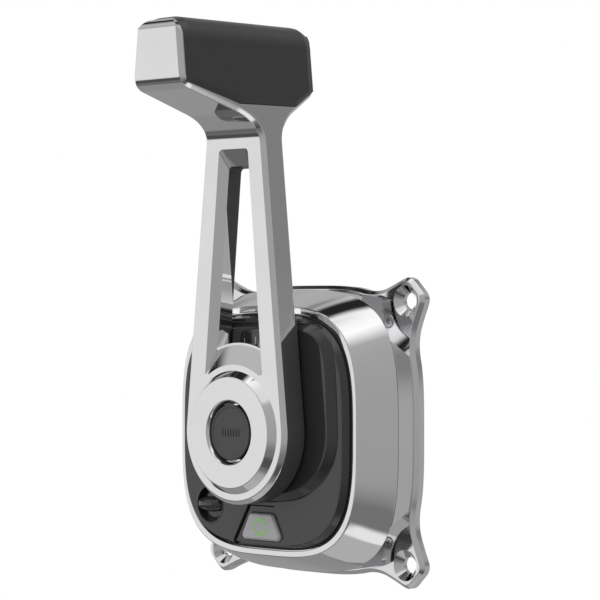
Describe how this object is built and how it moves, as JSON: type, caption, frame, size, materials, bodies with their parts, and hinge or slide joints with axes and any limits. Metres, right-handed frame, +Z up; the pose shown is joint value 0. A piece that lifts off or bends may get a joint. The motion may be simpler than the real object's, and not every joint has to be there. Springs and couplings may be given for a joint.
{
  "type": "side mount throttle control",
  "caption": "Boat throttle lever on a square chrome housing, with a slotted arm, a T-shaped rubber grip, a release button in the hub, a start button and a safety switch.",
  "frame": {"origin": "centre of the mounting plate's back face, on the lever's axis", "axes": "+Y along the lever's axis, into the wall that carries the plate; the front faces -Y; +Z up along the lever; +X to the right of someone who faces the panel"},
  "size_m": [0.159, 0.1155, 0.2895],
  "materials": {
    "plate_chrome": "polished chrome plate",
    "housing_chrome": "mirror chrome plate",
    "satin_chrome": "satin chrome plate with bright chamfers",
    "screw_steel": "machined stainless steel",
    "cast_alloy": "cast and machined aluminium",
    "bronze": "sintered bronze and plated contacts",
    "gloss_black": "high gloss black",
    "moulded_black": "fine moulded texture",
    "grip_rubber": "satin moulded rubber",
    "seal_rubber": "matt black rubber",
    "cap_grey": "satin dark grey",
    "button_grey": "light grey with a fine metallic paint",
    "icon_green": "lit green mark",
    "clear_white": "clear white lens",
    "board_green": "green solder mask"
  },
  "bodies": {
    "housing": {"base_plate": "plate_chrome", "mounting_gasket": "seal_rubber", "plate_screws": "screw_steel", "housing_screws": "screw_steel", "pedestal": "housing_chrome", "housing_seal": "seal_rubber", "bezel": "housing_chrome", "indicator_lenses": "clear_white", "face_plate": "gloss_black", "face_seal": "seal_rubber", "boss_cover": "gloss_black", "bearing_carrier": "cast_alloy", "carrier_screws": "screw_steel", "shaft_bushes": "bronze", "shaft_seal": "seal_rubber", "friction_washer": "bronze", "detent_plunger": "screw_steel", "detent_spring": "screw_steel", "circuit_board": "board_green", "board_spacers": "screw_steel", "board_screws": "screw_steel", "angle_sensor": "moulded_black", "indicator_lamps": "clear_white", "connector_shell": "moulded_black", "connector_pins": "bronze", "start_surround": "gloss_black", "start_switch": "moulded_black", "start_spring": "screw_steel", "safety_bowl": "gloss_black", "safety_switch": "moulded_black"},
    "shaft": {"shaft": "screw_steel", "detent_disc": "screw_steel", "sensor_magnet": "moulded_black", "retaining_clip": "screw_steel"},
    "lever": {"lever_arm": "satin_chrome", "lever_back_cover": "moulded_black", "drive_socket": "screw_steel", "socket_screws": "screw_steel", "latch_balls": "screw_steel", "hub_ring": "satin_chrome", "grip_cover": "grip_rubber", "release_spring": "screw_steel"},
    "release_cap": {"release_cap": "cap_grey"},
    "start_button": {"start_button": "button_grey", "start_icon": "icon_green"},
    "safety_knob": {"safety_knob": "gloss_black"}
  },
  "joints": [
    {"name": "lever_turn", "type": "hinge", "parent": "housing", "child": "shaft", "pos_m": [0, 0, 0], "axis": [0, -1, 0], "range_deg": [-50, 70]},
    {"name": "lever_pull", "type": "slide", "parent": "shaft", "child": "lever", "axis": [0, -1, 0], "range_m": [0, 0.014]},
    {"name": "release_press", "type": "slide", "parent": "lever", "child": "release_cap", "axis": [0, 1, 0], "range_m": [0, 0.0015], "stiffness_N_per_m": 1200},
    {"name": "start_press", "type": "slide", "parent": "housing", "child": "start_button", "axis": [0, 1, 0], "range_m": [0, 0.0012], "stiffness_N_per_m": 1500},
    {"name": "safety_turn", "type": "hinge", "parent": "housing", "child": "safety_knob", "pos_m": [-0.0384, -0.04, -0.0397], "axis": [0, 1, 0], "range_deg": [0, 90]}
  ]
}
